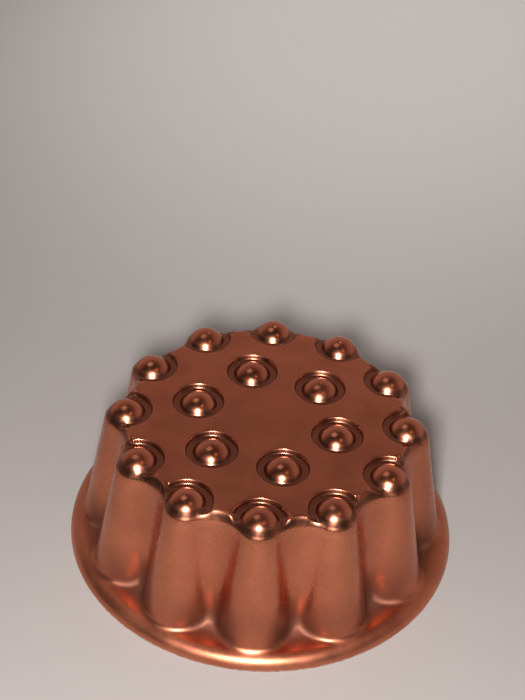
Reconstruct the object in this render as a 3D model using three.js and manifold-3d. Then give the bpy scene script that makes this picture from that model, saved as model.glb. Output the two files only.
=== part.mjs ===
// A fluted gelatin mold pressed from one sheet of copper-toned aluminium,
// standing on its rim with the closed end up, with a hanging ring on its rim.
// Millimetres, +Z up. The rim stands on Z = 0 and the mold's axis is the Z axis.
// The hanging ring is at the back, in a valley between two lobes, at +Y.

import * as THREE from 'three';
import { mergeVertices } from 'three/addons/utils/BufferGeometryUtils.js';
import Module from 'manifold-3d';

const wasm = await Module();
wasm.setup();

const TURN = 2 * Math.PI;

// ---- Driving dimensions -------------------------------------------------

const rimRadius = 100; // outer edge of the flange
const plateauHeight = 76; // flat of the closed end above the table
const sheet = 0.8; // thickness of the pressed sheet
const fitGap = 0.3; // left between pieces that touch

// Lobes round the wall, each under one outer knob.
const lobeCount = 12;
const flangeLeast = 6.5; // width of the flange outside a lobe's foot
const lobeRadius = 11.7; // at the top
const lobeSpread = 6.6; // a lobe's radius grows this much down to its foot
const lobeLean = 4.4; // a lobe's centre moves out this much down to its foot
const valleyReach = 2.2; // a valley lies this far outside the knobs' circle at the top
const valleySpread = 4.3; // and moves out this much more down to its foot
const valleyLeast = 1.0; // smallest radius that a valley's arc may have
const arcLeast = 0.1; // and the same for a skin inside it
const lobeRounding = 4.4; // where a lobe's top turns into the wall

// Knobs and the sunk seats round them.
const seatRadius = 13.4; // at the plateau
const seatDepth = 2.4;
const seatDraft = 1.2; // the seat is this much narrower at its floor
const knobRadius = 10.2;
const knobDrop = 6.8; // ball centre below the plateau
const plateauRounding = 1.2; // edge of the plateau over a valley

// Flange and its rolled edge.
const rimRoll = 7; // radius of the roll, and height of the flange
const footFillet = 1.5;
const rimHem = 1.6; // width of the turned-under edge

// Hanger: a strap riveted to the flange, rolled into an eye round the ring.
const strapWidth = 10;
const strapSheet = 0.8;
const eyeOverhang = 0.4; // eye centre beyond the rim's edge
const eyeLift = 0.5; // eye centre above the flange
const eyeClearance = 0.5; // round the ring's wire
const rivetInset = 0.4; // rivet centre inside the start of the roll
const rivetShank = 1.3; // radius
const rivetBore = 0.75; // radius
const rivetHead = 2.1; // radius
const rivetFlare = 2.0; // radius
const rivetHeadHeight = 0.7;
const wireDiameter = 2;
const ringWidth = 16.6; // between the middles of the ring's sides
const ringClearance = 0.7; // between the strap's foot and the ring's far side
const ringGap = 0.4; // where the wire's two ends meet, inside the eye
const eyeTurn = 0.72; // share of a full turn that the strap is rolled round the ring

// ---- Derived dimensions -------------------------------------------------

const lobeStep = TURN / lobeCount;
const lobeCircle = rimRadius - flangeLeast - lobeLean - lobeSpread - lobeRadius;
const knobPitch = 2 * lobeCircle * Math.sin(lobeStep / 2);
const floorHeight = plateauHeight - seatDepth;
const rollStart = rimRadius - rimRoll;
const rivetY = rollStart - rivetInset;
const strapMiddle = rimRoll + fitGap + strapSheet / 2;
const eyeY = rimRadius + eyeOverhang;
const eyeZ = rimRoll + eyeLift;
const ringLength = eyeY - rivetY + (strapWidth + wireDiameter) / 2 + ringClearance;
const eyeRadius = wireDiameter / 2 + eyeClearance + strapSheet / 2; // middle of the sheet

// ---- Solids -------------------------------------------------------------

function solidOf(geometry) {
  const bare = geometry.clone();
  bare.deleteAttribute('normal');
  bare.deleteAttribute('uv');
  const merged = mergeVertices(bare, 1e-4);
  return new wasm.Manifold(
    new wasm.Mesh({
      numProp: 3,
      vertProperties: new Float32Array(merged.attributes.position.array),
      triVerts: new Uint32Array(merged.index.array),
    }),
  );
}

function geometryOf(solid) {
  const { vertProperties, triVerts } = solid.getMesh();
  const geometry = new THREE.BufferGeometry();
  geometry.setAttribute('position', new THREE.BufferAttribute(vertProperties, 3));
  geometry.setIndex(new THREE.BufferAttribute(triVerts, 1));
  geometry.computeVertexNormals();
  return geometry;
}

// Joins rings of points, listed from the top down and each counter-clockwise
// seen from above, and closes both ends with a fan from the axis.
function loft(rings) {
  const count = rings[0].length;
  const positions = rings.flat().flatMap((point) => [point.x, point.y, point.z]);
  const indices = [];
  for (let row = 0; row + 1 < rings.length; row += 1) {
    for (let i = 0; i < count; i += 1) {
      const next = (i + 1) % count;
      const upper = row * count;
      const lower = upper + count;
      indices.push(lower + i, lower + next, upper + next);
      indices.push(lower + i, upper + next, upper + i);
    }
  }
  const top = rings.length * count;
  const bottom = top + 1;
  const lastRow = (rings.length - 1) * count;
  positions.push(0, 0, rings[0][0].z, 0, 0, rings.at(-1)[0].z);
  for (let i = 0; i < count; i += 1) {
    const next = (i + 1) % count;
    indices.push(top, i, next);
    indices.push(bottom, lastRow + next, lastRow + i);
  }
  const geometry = new THREE.BufferGeometry();
  geometry.setAttribute('position', new THREE.Float32BufferAttribute(positions, 3));
  geometry.setIndex(indices);
  return geometry;
}

// A lathe whose profile is given as [radius, height], turned to stand on Z.
function latheOnZ(profile, segments) {
  const points = profile.map(([radius, height]) => new THREE.Vector2(radius, height));
  return new THREE.LatheGeometry(points, segments).rotateX(Math.PI / 2);
}

// ---- The shell's fluted body --------------------------------------------

const LOBE_STEPS = 6; // chords round one lobe
const VALLEY_STEPS = 4; // chords round one valley

// Plan outline: lobes of one radius on a circle, joined by valley arcs that
// touch both lobes and pass through the valley radius. `inset` shrinks it evenly.
function flutedOutline(circle, lobe, valley, inset, height) {
  const half = lobeStep / 2;
  const reach = circle * Math.cos(half);
  const through =
    (lobe ** 2 - valley ** 2 - circle ** 2 + 2 * valley * reach) / (2 * (valley - reach - lobe));
  const wallArc = Math.max(valleyLeast, through);
  const valleyCentre = reach + Math.sqrt((lobe + wallArc) ** 2 - (circle * Math.sin(half)) ** 2);
  const valleyArc = Math.max(arcLeast, wallArc + inset);
  const lobeArc = lobe + wallArc - valleyArc;
  const rise = valleyCentre * Math.sin(half);
  const run = valleyCentre * Math.cos(half) - circle;
  const touch = Math.atan2(rise, run); // where lobe and valley arcs meet
  const points = [];
  for (let k = 0; k < lobeCount; k += 1) {
    const axis = (k + 0.5) * lobeStep;
    const centre = new THREE.Vector2(circle, 0).rotateAround(new THREE.Vector2(), axis);
    for (let i = 0; i <= LOBE_STEPS; i += 1) {
      const turn = axis - touch + (2 * touch * i) / LOBE_STEPS;
      points.push(
        new THREE.Vector3(
          centre.x + lobeArc * Math.cos(turn),
          centre.y + lobeArc * Math.sin(turn),
          height,
        ),
      );
    }
    const valleyAxis = axis + half;
    const hollow = new THREE.Vector2(valleyCentre, 0);
    hollow.rotateAround(new THREE.Vector2(), valleyAxis);
    const sweep = touch - half;
    for (let i = 1; i < VALLEY_STEPS; i += 1) {
      const turn = valleyAxis + Math.PI + sweep - (2 * sweep * i) / VALLEY_STEPS;
      points.push(
        new THREE.Vector3(
          hollow.x + valleyArc * Math.cos(turn),
          hollow.y + valleyArc * Math.sin(turn),
          height,
        ),
      );
    }
  }
  return points;
}

// The outline that lies `inset` inside the wall, a share `down` of its way to the foot.
function wallOutline(down, inset, height) {
  return flutedOutline(
    lobeCircle + lobeLean * down,
    lobeRadius + lobeSpread * down,
    lobeCircle + valleyReach + valleySpread * down,
    inset,
    height,
  );
}

// Height of the flange's surface at a radius, for a skin `inset` below it.
function flangeHeight(radius, inset) {
  const past = Math.max(0, radius - rollStart);
  const roll = rimRoll - inset;
  return Math.sqrt(Math.max(0, roll ** 2 - past ** 2));
}

// Point of the flange's skin at a share of the way from a foot point to the edge.
function flangePoint(foot, edgeTurn, share, inset, lastHeight) {
  const roll = rimRoll - inset;
  const footRadius = Math.hypot(foot.x, foot.y);
  const lastTurn = Math.acos(lastHeight / roll);
  const firstTurn = Math.asin(Math.max(0, footRadius - rollStart) / roll);
  const flat = Math.max(0, rollStart - footRadius);
  const travel = share * (flat + roll * (lastTurn - firstTurn));
  const turn = firstTurn + Math.max(0, travel - flat) / roll;
  const radius =
    travel < flat ? footRadius + travel : rollStart + roll * Math.sin(turn);
  const height = travel < flat ? roll : roll * Math.cos(turn);
  const footTurn = Math.atan2(foot.y, foot.x);
  const gap = Math.atan2(Math.sin(edgeTurn - footTurn), Math.cos(edgeTurn - footTurn));
  const angle = footTurn + gap * Math.min(1, 2 * share);
  return new THREE.Vector3(radius * Math.cos(angle), radius * Math.sin(angle), height);
}

const ROUNDING_STEPS = 2;
const FILLET_SHARES = [0, 0.5, 1]; // rows of the fillet at the wall's foot
const FLANGE_SHARES = [0.35, 0.65, 0.85, 1];

// Lobed wall and flange as a solid, drawn `inset` inside the outer skin. The
// skin itself is closed at the table; an inset body runs on below the table,
// past the turned-under edge, so that taking it away opens the mold.
function flutedBody(inset) {
  const rings = [];
  const top = floorHeight - inset;
  for (let i = 0; i <= ROUNDING_STEPS; i += 1) {
    const turn = (Math.PI / 2) * (i / ROUNDING_STEPS);
    const inward = lobeRounding * (1 - Math.sin(turn));
    rings.push(wallOutline(0, inset + inward, top - lobeRounding * (1 - Math.cos(turn))));
  }
  const fillet = footFillet + inset;
  for (const share of FILLET_SHARES) {
    const turn = (Math.PI / 2) * share;
    const outward = fillet * (1 - Math.cos(turn));
    const ring = wallOutline(1, inset - outward, 0);
    for (const point of ring) {
      point.z = flangeHeight(Math.hypot(point.x, point.y), inset) + fillet * (1 - Math.sin(turn));
    }
    rings.push(ring);
  }
  const feet = rings.at(-1);
  const lastHeight = inset > 0 ? sheet : 0;
  const edgeStep = TURN / feet.length;
  const firstEdge = (lobeStep - LOBE_STEPS * edgeStep) / 2;
  for (const share of FLANGE_SHARES) {
    rings.push(
      feet.map((foot, i) =>
        flangePoint(foot, firstEdge + edgeStep * i, share, inset, lastHeight),
      ),
    );
  }
  if (inset > 0) {
    const hemRadius = rimRadius - rimHem;
    for (const height of [sheet, -sheet]) {
      rings.push(
        rings.at(-1).map((point) => {
          const flat = new THREE.Vector2(point.x, point.y).setLength(hemRadius);
          return new THREE.Vector3(flat.x, flat.y, height);
        }),
      );
    }
  }
  return solidOf(loft(rings));
}

// ---- Plateau, seats and knobs -------------------------------------------

const KNOB_SEGMENTS = 12;
const KNOB_SHARES = [0, 0.4, 0.75]; // rings on a knob, from its seat towards its top
const SEAT_OVERLAP = 1; // solids run this far into each other, or past each other
const PLATEAU_SEGMENTS = 48;

// Centres of the twelve outer knobs and the six inner ones, one pitch apart.
function knobCentres() {
  const outer = Array.from({ length: lobeCount }, (_, k) => [lobeCircle, (k + 0.5) * lobeStep]);
  const inner = Array.from({ length: lobeCount / 2 }, (_, k) => [knobPitch, 2 * k * lobeStep]);
  return [...outer, ...inner].map(([radius, turn]) => [
    radius * Math.cos(turn),
    radius * Math.sin(turn),
  ]);
}

function plateauSolid(inset) {
  const radius = lobeCircle - inset;
  const top = plateauHeight - inset;
  const base = floorHeight - 2 * lobeRounding;
  const half = plateauRounding * (1 - Math.SQRT1_2);
  return solidOf(
    latheOnZ(
      [
        [0, base],
        [radius, base],
        [radius, top - plateauRounding],
        [radius - half, top - half],
        [radius - plateauRounding, top],
        [0, top],
      ],
      PLATEAU_SEGMENTS,
    ),
  );
}

function seatSolid(inset) {
  const slope = seatDraft / seatDepth;
  const floor = seatRadius - seatDraft + inset;
  const clear = seatDepth + SEAT_OVERLAP;
  return solidOf(
    latheOnZ(
      [
        [0, 0],
        [floor, 0],
        [floor + slope * clear, clear],
        [0, clear],
      ],
      KNOB_SEGMENTS,
    ).translate(0, 0, floorHeight - inset),
  );
}

function knobSolid(inset) {
  const radius = knobRadius - inset;
  const centre = plateauHeight - knobDrop;
  const low = floorHeight - inset - SEAT_OVERLAP;
  const lowTurn = Math.asin((low - centre) / radius);
  const profile = [[0, low]];
  for (const share of KNOB_SHARES) {
    const turn = lowTurn + (Math.PI / 2 - lowTurn) * share;
    profile.push([radius * Math.cos(turn), centre + radius * Math.sin(turn)]);
  }
  profile.push([0, centre + radius]);
  return solidOf(latheOnZ(profile, KNOB_SEGMENTS));
}

// Everything inside one skin of the sheet.
function skinSolid(inset) {
  const centres = knobCentres();
  const seat = seatSolid(inset);
  const knob = knobSolid(inset);
  let plateau = plateauSolid(inset);
  for (const [x, y] of centres) plateau = plateau.subtract(seat.translate([x, y, 0]));
  let skin = flutedBody(inset).add(plateau);
  for (const [x, y] of centres) skin = skin.add(knob.translate([x, y, 0]));
  return skin;
}

function moldShell() {
  const hole = solidOf(
    latheOnZ(
      [
        [0, 0],
        [rivetShank + fitGap, 0],
        [rivetShank + fitGap, 2 * rimRoll],
        [0, 2 * rimRoll],
      ],
      KNOB_SEGMENTS,
    ).translate(0, rivetY, 0),
  );
  return geometryOf(skinSolid(0).subtract(skinSolid(sheet)).subtract(hole));
}

// ---- Hanger -------------------------------------------------------------

// Outline of a strip of sheet that follows a line of points.
function stripOutline(line, thickness) {
  const sides = line.map((point, i) => {
    const before = line[Math.max(0, i - 1)];
    const after = line[Math.min(line.length - 1, i + 1)];
    const along = after.clone().sub(before).normalize();
    return new THREE.Vector2(-along.y, along.x).multiplyScalar(thickness / 2);
  });
  const upper = line.map((point, i) => point.clone().add(sides[i]));
  const lower = line.map((point, i) => point.clone().sub(sides[i]));
  return new THREE.Shape([...upper.reverse(), ...lower]);
}

const EYE_STEPS = 16;
const STRAP_END_SEGMENTS = 10;

// Side view of the strap, as distance from the axis and height: flat on the
// flange, up a short slope, over the ring's bar and back under it.
function strapLine() {
  const foot = new THREE.Vector2(rivetY - strapWidth / 2, strapMiddle);
  const knee = new THREE.Vector2(rivetY + rivetHead + 2 * fitGap + strapSheet, strapMiddle);
  const eye = new THREE.Vector2(eyeY, eyeZ);
  const toEye = eye.clone().sub(knee);
  const slope = toEye.angle() + Math.asin(eyeRadius / toEye.length());
  const firstTurn = slope + Math.PI / 2;
  const line = [foot, knee];
  for (let i = 0; i <= EYE_STEPS; i += 1) {
    const turn = firstTurn - (eyeTurn * TURN * i) / EYE_STEPS;
    line.push(
      new THREE.Vector2(eyeY + eyeRadius * Math.cos(turn), eyeZ + eyeRadius * Math.sin(turn)),
    );
  }
  return line;
}

function hangerStrap() {
  const side = new THREE.ExtrudeGeometry(stripOutline(strapLine(), strapSheet), {
    depth: strapWidth,
    bevelEnabled: false,
  });
  side.translate(0, 0, -strapWidth / 2);
  side.applyMatrix4(
    new THREE.Matrix4().makeBasis(
      new THREE.Vector3(0, 1, 0),
      new THREE.Vector3(0, 0, 1),
      new THREE.Vector3(1, 0, 0),
    ),
  );
  const half = strapWidth / 2;
  const outline = new THREE.Shape();
  outline.moveTo(half, eyeY + strapWidth);
  outline.lineTo(-half, eyeY + strapWidth);
  outline.lineTo(-half, rivetY);
  outline.absarc(0, rivetY, half, Math.PI, TURN, false);
  const hole = new THREE.Path();
  hole.absarc(0, rivetY, rivetShank + fitGap, 0, TURN, true);
  outline.holes.push(hole);
  const plan = new THREE.ExtrudeGeometry(outline, {
    depth: 3 * rimRoll,
    bevelEnabled: false,
    curveSegments: STRAP_END_SEGMENTS,
  });
  return geometryOf(solidOf(side).intersect(solidOf(plan)));
}

const RIVET_SEGMENTS = 16;

// A hollow rivet: a head over the strap, a bored shank and a flare under the flange.
function hangerRivet() {
  const flareTop = rimRoll - sheet - 2 * fitGap;
  const flareBottom = flareTop - rivetHeadHeight;
  const headBottom = strapMiddle + strapSheet / 2 + fitGap;
  const headTop = headBottom + rivetHeadHeight;
  const bevel = rivetHeadHeight / 2;
  const profile = [
    [rivetBore, flareBottom],
    [rivetFlare, flareBottom],
    [rivetFlare, flareTop],
    [rivetShank, flareTop],
    [rivetShank, headBottom],
    [rivetHead, headBottom],
    [rivetHead, headTop - bevel],
    [rivetHead - bevel, headTop],
    [rivetBore + bevel, headTop],
    [rivetBore, headTop - bevel],
    [rivetBore, flareBottom],
  ];
  return latheOnZ(profile, RIVET_SEGMENTS).translate(0, rivetY, 0);
}

const WIRE_SIDES = 10;
const WIRE_STEPS = 48; // along the whole wire
const ARC_POINTS = 13; // on each curved stretch of its path

// Middle line of the ring's wire, lying in the XY plane: a straight bar along X
// through the origin, round corners, and a half-round far side towards -Y.
function ringPath() {
  const half = ringWidth / 2;
  const barHalf = strapWidth / 2 + fitGap;
  const corner = half - barHalf;
  const farRadius = ringLength - corner;
  const path = new THREE.CurvePath();
  const line = (a, b) => path.add(new THREE.LineCurve3(a, b));
  const point = (x, y) => new THREE.Vector3(x, y, 0);
  const arc = (x, y, radiusX, radiusY, from, to) => {
    const share = (i) => i / (ARC_POINTS - 1);
    const turns = Array.from({ length: ARC_POINTS }, (_, i) => from + (to - from) * share(i));
    const points = turns.map((t) => point(x + radiusX * Math.cos(t), y + radiusY * Math.sin(t)));
    path.add(new THREE.CatmullRomCurve3(points));
  };
  line(point(-ringGap / 2, 0), point(-barHalf, 0));
  arc(-barHalf, -corner, corner, corner, Math.PI / 2, Math.PI);
  arc(0, -corner, half, farRadius, Math.PI, TURN);
  arc(barHalf, -corner, corner, corner, 0, Math.PI / 2);
  line(point(barHalf, 0), point(ringGap / 2, 0));
  return path;
}

// How far the ring tips up from level when it lies back on the rolled rim.
function ringRestTilt() {
  const toRoll = new THREE.Vector2(eyeOverhang + rimRoll, eyeZ);
  const reach = rimRoll + wireDiameter / 2 + fitGap;
  return Math.asin(reach / toRoll.length()) - toRoll.angle();
}

function hangingRing() {
  const radius = wireDiameter / 2;
  const corners = Array.from({ length: WIRE_SIDES }, (_, i) => {
    const turn = (TURN * i) / WIRE_SIDES;
    return new THREE.Vector2(radius * Math.cos(turn), radius * Math.sin(turn));
  });
  return new THREE.ExtrudeGeometry(new THREE.Shape(corners), {
    extrudePath: ringPath(),
    steps: WIRE_STEPS,
    bevelEnabled: false,
  });
}

// ---- Assembly -----------------------------------------------------------

function piece(name, geometry, color, roughness) {
  const material = new THREE.MeshStandardMaterial({ color, roughness, metalness: 1 });
  const mesh = new THREE.Mesh(geometry, material);
  mesh.name = name;
  return mesh;
}

const mold = new THREE.Group();
mold.add(piece('mold_shell', moldShell(), 0xb0623c, 0.32));
mold.add(piece('hanger_strap', hangerStrap(), 0xc07a4c, 0.28));
mold.add(piece('hanger_rivet', hangerRivet(), 0xc9925c, 0.3));

const hangingPivot = new THREE.Group();
hangingPivot.position.set(0, eyeY, eyeZ);
hangingPivot.rotation.x = -ringRestTilt();
hangingPivot.add(piece('hanging_ring', hangingRing(), 0xa8643c, 0.26));
mold.add(hangingPivot);

export default mold;
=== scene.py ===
# %% [markdown]
# # A fluted gelatin mold, from one sheet of metal
#
# The real object is almost nothing but one pressed sheet: a round closed end with
# eighteen domed knobs, twelve lobes round the wall, and a flange that rolls down to
# the edge it stands on. A strap, a hollow rivet and a loop of wire hang it on a wall.
# The lesson builds it in that order: view and light first, then the sheet, then the
# hanger, then the finishes. The CAD frame gives the box that every piece has to fit.

# %% Load the frame
import math

import bmesh
import bpy
import numpy as np
from mathutils import Matrix, Vector
from mathutils.geometry import delaunay_2d_cdt


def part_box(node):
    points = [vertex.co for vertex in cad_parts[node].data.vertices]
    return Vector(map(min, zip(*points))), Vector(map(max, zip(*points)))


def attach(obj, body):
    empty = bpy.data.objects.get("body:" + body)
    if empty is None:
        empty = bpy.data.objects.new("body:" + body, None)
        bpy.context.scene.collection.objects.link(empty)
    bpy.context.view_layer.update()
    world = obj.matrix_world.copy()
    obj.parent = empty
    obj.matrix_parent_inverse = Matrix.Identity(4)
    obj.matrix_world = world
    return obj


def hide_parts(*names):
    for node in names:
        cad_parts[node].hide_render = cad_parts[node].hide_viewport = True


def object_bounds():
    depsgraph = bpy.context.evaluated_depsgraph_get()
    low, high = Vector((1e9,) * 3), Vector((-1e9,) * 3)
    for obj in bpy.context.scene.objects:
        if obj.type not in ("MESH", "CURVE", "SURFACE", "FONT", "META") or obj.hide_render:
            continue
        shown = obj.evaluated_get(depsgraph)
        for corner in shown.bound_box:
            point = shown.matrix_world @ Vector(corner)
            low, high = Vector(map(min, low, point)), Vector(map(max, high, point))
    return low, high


MM = 0.001
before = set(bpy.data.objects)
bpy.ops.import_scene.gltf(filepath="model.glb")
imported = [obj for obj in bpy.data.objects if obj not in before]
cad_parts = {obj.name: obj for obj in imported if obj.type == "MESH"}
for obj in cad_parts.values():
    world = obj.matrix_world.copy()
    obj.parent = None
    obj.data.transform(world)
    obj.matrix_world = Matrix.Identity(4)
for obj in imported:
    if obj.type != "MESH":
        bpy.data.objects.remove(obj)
cad_low, cad_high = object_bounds()
print("CAD box:", tuple(cad_low), tuple(cad_high))

# %% [markdown]
# ## The view and the room
#
# Polished metal shows its surroundings more than itself, so the room is made first.
# The floor fills the lower half of every reflection. Behind the mold the sky goes from
# pale at the horizon to dim overhead, and in front it is dim all over. That turns the
# flat closed end a deep brown while the walls, which see the floor, stay bright.

# %% Camera
CAMERA_DISTANCE = 0.8785  # along the line of sight, to the point aimed at
CAMERA_AIM = Vector((-0.0177, 0.0465, 0.079))
CAMERA_ELEVATION = math.radians(39.36)
CAMERA_AZIMUTH = math.radians(15.86)
CAMERA_ROLL = math.radians(3.27)
CAMERA_LENS = 86.35  # mm, for a picture 36 mm on its long side


def direction(azimuth, elevation):
    """Unit vector towards a place seen from the mold, azimuth 0 being towards -Y."""
    flat = math.cos(elevation)
    return Vector((math.sin(azimuth) * flat, -math.cos(azimuth) * flat, math.sin(elevation)))


camera = bpy.data.objects.new("camera", bpy.data.cameras.new("camera"))
camera.data.lens = CAMERA_LENS
camera.data.sensor_width = 36
camera.data.clip_start = 0.01
towards_camera = direction(CAMERA_AZIMUTH, CAMERA_ELEVATION)
camera.location = CAMERA_AIM + CAMERA_DISTANCE * towards_camera
level = (-towards_camera).to_track_quat("-Z", "Y").to_matrix()
camera.rotation_euler = (level @ Matrix.Rotation(CAMERA_ROLL, 3, "Z")).to_euler()
bpy.context.scene.collection.objects.link(camera)
bpy.context.scene.camera = camera
print("camera at", tuple(round(v, 3) for v in camera.location))


# %% Floor
def link(obj):
    """Puts an object in the scene and hands it back."""
    bpy.context.scene.collection.objects.link(obj)
    return obj


FLOOR_RADIUS = 4.0

floor_mesh = bpy.data.meshes.new("floor")
floor_turns = [2 * math.pi * i / 96 for i in range(96)]
floor_mesh.from_pydata(
    [(FLOOR_RADIUS * math.cos(t), FLOOR_RADIUS * math.sin(t), 0) for t in floor_turns],
    [],
    [range(96)],
)
floor = link(bpy.data.objects.new("floor", floor_mesh))
print(f"floor {2 * FLOOR_RADIUS:.0f} m across")


# %% [markdown]
# ## The lamps
#
# The key lamp is small and stands by the camera, so each knob carries one round white
# spot near its middle. A faint warm lamp and a large soft one fill in from the sides.
# A spot lamp high behind the mold keeps the far floor pale.


# %% Lights
def area_light(name, place, aim, size, power, colour):
    """A square soft light at a place, facing an aim."""
    data = bpy.data.lights.new(name, "AREA")
    data.size = size
    data.energy = power
    data.color = colour
    lamp = link(bpy.data.objects.new(name, data))
    lamp.location = place
    lamp.rotation_euler = (Vector(aim) - Vector(place)).to_track_quat("-Z", "Y").to_euler()
    return lamp


NEAR_WHITE = (1.0, 0.98, 0.97)
MOLD_MIDDLE = (cad_low + cad_high) / 2
key_place = camera.location + Vector((-0.03, -0.02, -0.06))
warm_place = MOLD_MIDDLE + 1.6 * direction(math.radians(70), math.radians(62))
soft_place = MOLD_MIDDLE + 2.2 * direction(math.radians(-120), math.radians(70))
LAMPS = [  # name, place, width in metres, power in watts, colour
    ("key", key_place, 0.10, 10.5, (1.0, 0.97, 0.95)),
    ("warm", warm_place, 0.35, 0.4, (1.0, 0.55, 0.25)),
    ("soft", soft_place, 0.9, 1.6, NEAR_WHITE),
]
for name, place, width, power, colour in LAMPS:
    area_light(name, place, MOLD_MIDDLE, width, power, colour)
print(len(LAMPS), "area lamps")

# %% Lamp for the far floor
behind = bpy.data.lights.new("behind", "SPOT")
behind.energy = 60.0
behind.color = NEAR_WHITE
behind.spot_size = math.radians(38)
behind.spot_blend = 1.0
behind.shadow_soft_size = 0.1
behind_lamp = link(bpy.data.objects.new("behind", behind))
behind_lamp.location = (-0.1, 0.95, 1.2)
behind_aim = Vector((-0.08, 0.55, 0)) - behind_lamp.location
behind_lamp.rotation_euler = behind_aim.to_track_quat("-Z", "Y").to_euler()
print("far lamp at", tuple(round(v, 2) for v in behind_lamp.location))


# %% Sky
def node(tree, kind, place=(0, 0), **values):
    """Adds a node, sets its properties and its inputs by name, and hands it back."""
    made = tree.nodes.new(kind)
    made.location = place
    for key, value in values.items():
        if hasattr(made, key):
            setattr(made, key, value)
        else:
            made.inputs[key.replace("_", " ")].default_value = value
    return made


def ramp_stops(ramp, stops):
    """Sets a colour ramp's stops from (position, colour) pairs."""
    elements = ramp.color_ramp.elements
    while len(elements) > 1:
        elements.remove(elements[-1])
    for index, (position, colour) in enumerate(stops):
        element = elements[0] if index == 0 else elements.new(position)
        element.position = position
        element.color = (*colour, 1)


FRONT_SKY = [(0.0, (0.16, 0.15, 0.145)), (0.10, (0.05, 0.046, 0.044)), (1.0, (0.045, 0.04, 0.04))]
BACK_SKY = [
    (0.0, (0.46, 0.40, 0.38)),
    (0.63, (0.36, 0.26, 0.24)),
    (0.82, (0.15, 0.11, 0.10)),
    (1.0, (0.07, 0.055, 0.05)),
]

world = bpy.data.worlds.new("room")
world.use_nodes = True
bpy.context.scene.world = world
sky_tree = world.node_tree
sky_tree.nodes.clear()
sky_out = node(sky_tree, "ShaderNodeOutputWorld")
sky_light = node(sky_tree, "ShaderNodeBackground")
sky_way = node(sky_tree, "ShaderNodeTexCoord")
sky_axes = node(sky_tree, "ShaderNodeSeparateXYZ")
sky_side = node(sky_tree, "ShaderNodeMapRange", interpolation_type="SMOOTHSTEP")
sky_side.inputs["From Min"].default_value = -0.35
sky_side.inputs["From Max"].default_value = 0.45
sky_mix = node(sky_tree, "ShaderNodeMix", data_type="RGBA")
sky_tree.links.new(sky_way.outputs["Generated"], sky_axes.inputs[0])
sky_tree.links.new(sky_axes.outputs["Y"], sky_side.inputs["Value"])
sky_tree.links.new(sky_side.outputs[0], sky_mix.inputs["Factor"])
for target, stops in ((6, FRONT_SKY), (7, BACK_SKY)):
    sky_ramp = node(sky_tree, "ShaderNodeValToRGB")
    ramp_stops(sky_ramp, stops)
    sky_tree.links.new(sky_axes.outputs["Z"], sky_ramp.inputs["Fac"])
    sky_tree.links.new(sky_ramp.outputs["Color"], sky_mix.inputs[target])
sky_tree.links.new(sky_mix.outputs[2], sky_light.inputs["Color"])
sky_tree.links.new(sky_light.outputs[0], sky_out.inputs["Surface"])
bpy.context.scene.view_settings.view_transform = "Standard"
print(len(sky_tree.nodes), "nodes in the sky")

# %% [markdown]
# ## The sheet's sizes
#
# Everything on the mold repeats: twelve lobes, an outer ring of twelve knobs and an
# inner ring of six, each knob one pitch from its neighbours. So only one wedge, a
# twelfth of the mold, has to be drawn. It runs from one valley to the next, holds one
# lobe with its knob, and half of an inner knob. Sizes are in millimetres until the
# mesh is made.

# %% Sizes
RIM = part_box("mold_shell")[1].x / MM  # radius of the rim's outer edge
SHEET = 0.8
WEDGE = math.radians(30)
HALF = WEDGE / 2

PLATEAU = 76.0  # height of the flat of the closed end
SEAT = 13.4  # radius of a sunk seat, at the plateau
SEAT_DEPTH = 2.4
SEAT_FLOOR = 12.2  # radius of a seat, at its floor
KNOB = 10.2  # radius of a knob's ball
KNOB_CENTRE = PLATEAU - 6.8
FLOOR = PLATEAU - SEAT_DEPTH

RING = 70.8  # circle of the outer knobs, and of the lobes at the top
LOBE = 10.8  # radius of a lobe, at the top
VALLEY = 73.0  # distance of a valley from the axis, at the top
RING_FOOT = 75.2  # the same three at the foot of the wall
LOBE_FOOT = 17.4
VALLEY_FOOT = 78.2
PITCH = 2 * RING * math.sin(HALF)  # also the circle of the inner knobs

ROLL = 7.0  # radius of the rolled rim, and the flange's height
ROLL_START = RIM - ROLL
HEM = 1.6  # width of the turned-under edge
OUTER_KNOB = np.array([RING * math.cos(HALF), RING * math.sin(HALF)])
INNER_KNOB = np.array([PITCH, 0.0])
print(f"knob circles {RING:.1f} and {PITCH:.1f} mm, overall height {KNOB_CENTRE + KNOB:.1f} mm")

# %% [markdown]
# ## Rounded profiles
#
# A pressing tool has no sharp edges. Each turn in the sheet is an arc, and its width
# decides how wide a highlight it carries. This helper takes a line with corners and
# rounds each corner with its own radius, so a profile is given by its few corners.


# %% Rounded profile
def rounded_profile(corners, radii, steps=6):
    """Points of a line through the corners, each inner corner rounded to its radius."""
    corners = [np.array(c, float) for c in corners]
    points = [corners[0]]
    for before, corner, after, radius in zip(corners, corners[1:], corners[2:], radii):
        back = (before - corner) / np.linalg.norm(before - corner)
        ahead = (after - corner) / np.linalg.norm(after - corner)
        half_angle = math.acos(np.clip(back @ ahead, -1, 1)) / 2
        reach = radius / math.tan(half_angle)
        centre = corner + (back + ahead) / np.linalg.norm(back + ahead) * (
            radius / math.sin(half_angle)
        )
        start = corner + back * reach - centre
        end = corner + ahead * reach - centre
        sweep = math.pi - 2 * half_angle
        for i in range(steps + 1):
            share = i / steps
            point = (
                math.sin((1 - share) * sweep) * start + math.sin(share * sweep) * end
            ) / math.sin(sweep)
            points.append(centre + point)
    points.append(corners[-1])
    return np.array(points)


# %% [markdown]
# ## Knob and seat
#
# Each knob is a ball that stands in a sunk seat: the ball, the flat of the seat, and
# the seat's sloping wall up to the plateau. The ball melts into its seat, because a
# press leaves no sharp crease. As a cross-section that is one line, a height for every
# distance from the knob's middle. The mesh has rings of points round each knob, close
# together where that line bends.

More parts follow.
